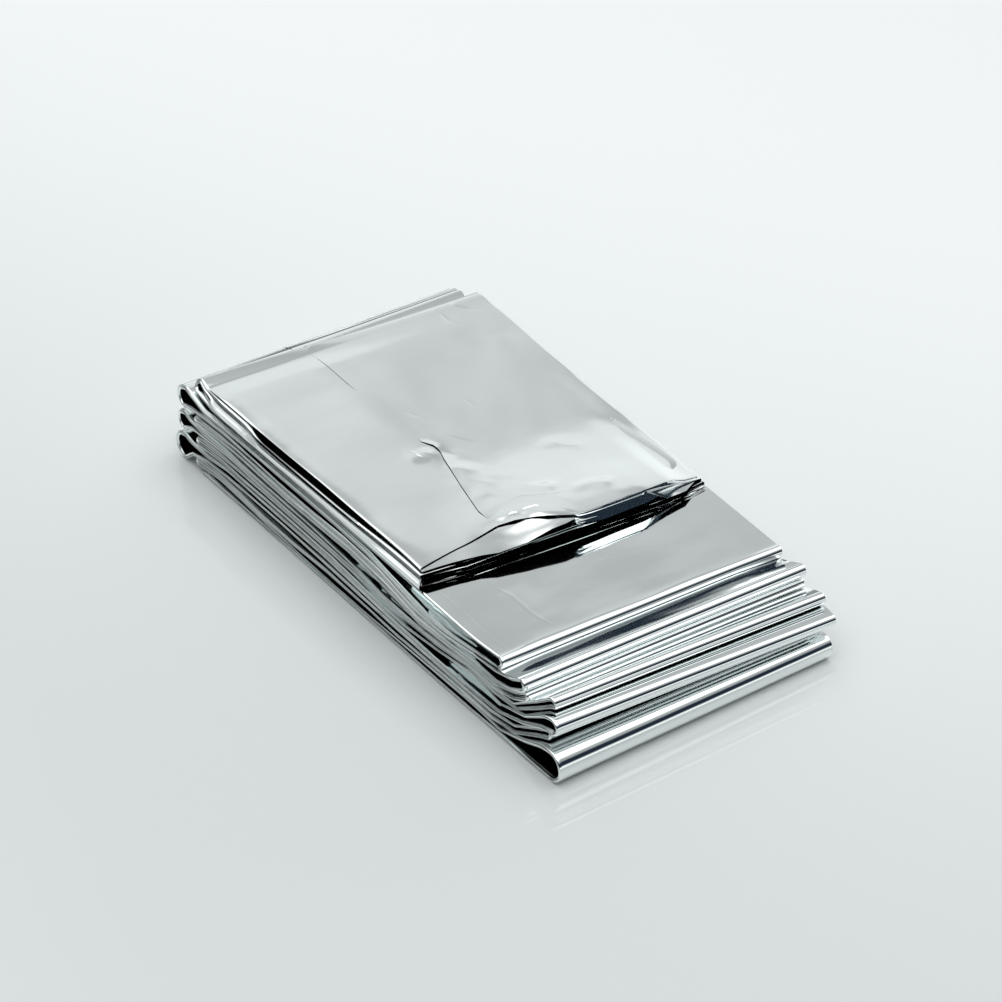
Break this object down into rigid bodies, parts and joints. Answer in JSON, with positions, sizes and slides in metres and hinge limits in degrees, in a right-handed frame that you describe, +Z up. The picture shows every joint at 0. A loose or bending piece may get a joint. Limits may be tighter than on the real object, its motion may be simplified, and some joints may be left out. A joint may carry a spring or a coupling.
{
  "type": "folded emergency foil blanket",
  "caption": "Emergency blanket of thin silver film, folded into a strip and then back and forth into a flat pack with staggered front folds.",
  "frame": {"origin": "on the surface that the pack lies on, under the centre of the pack's bounding box", "axes": "+X across the folded strip, +Y along the panels with the staggered front folds at -Y, +Z up out of the resting face"},
  "size_m": [0.0784, 0.1526, 0.0251],
  "materials": {
    "silver_foil": "thin metallised film, mirror bright, softly creased along its folds"
  },
  "bodies": {
    "root": {"foil_blanket": "silver_foil"}
  },
  "joints": []
}
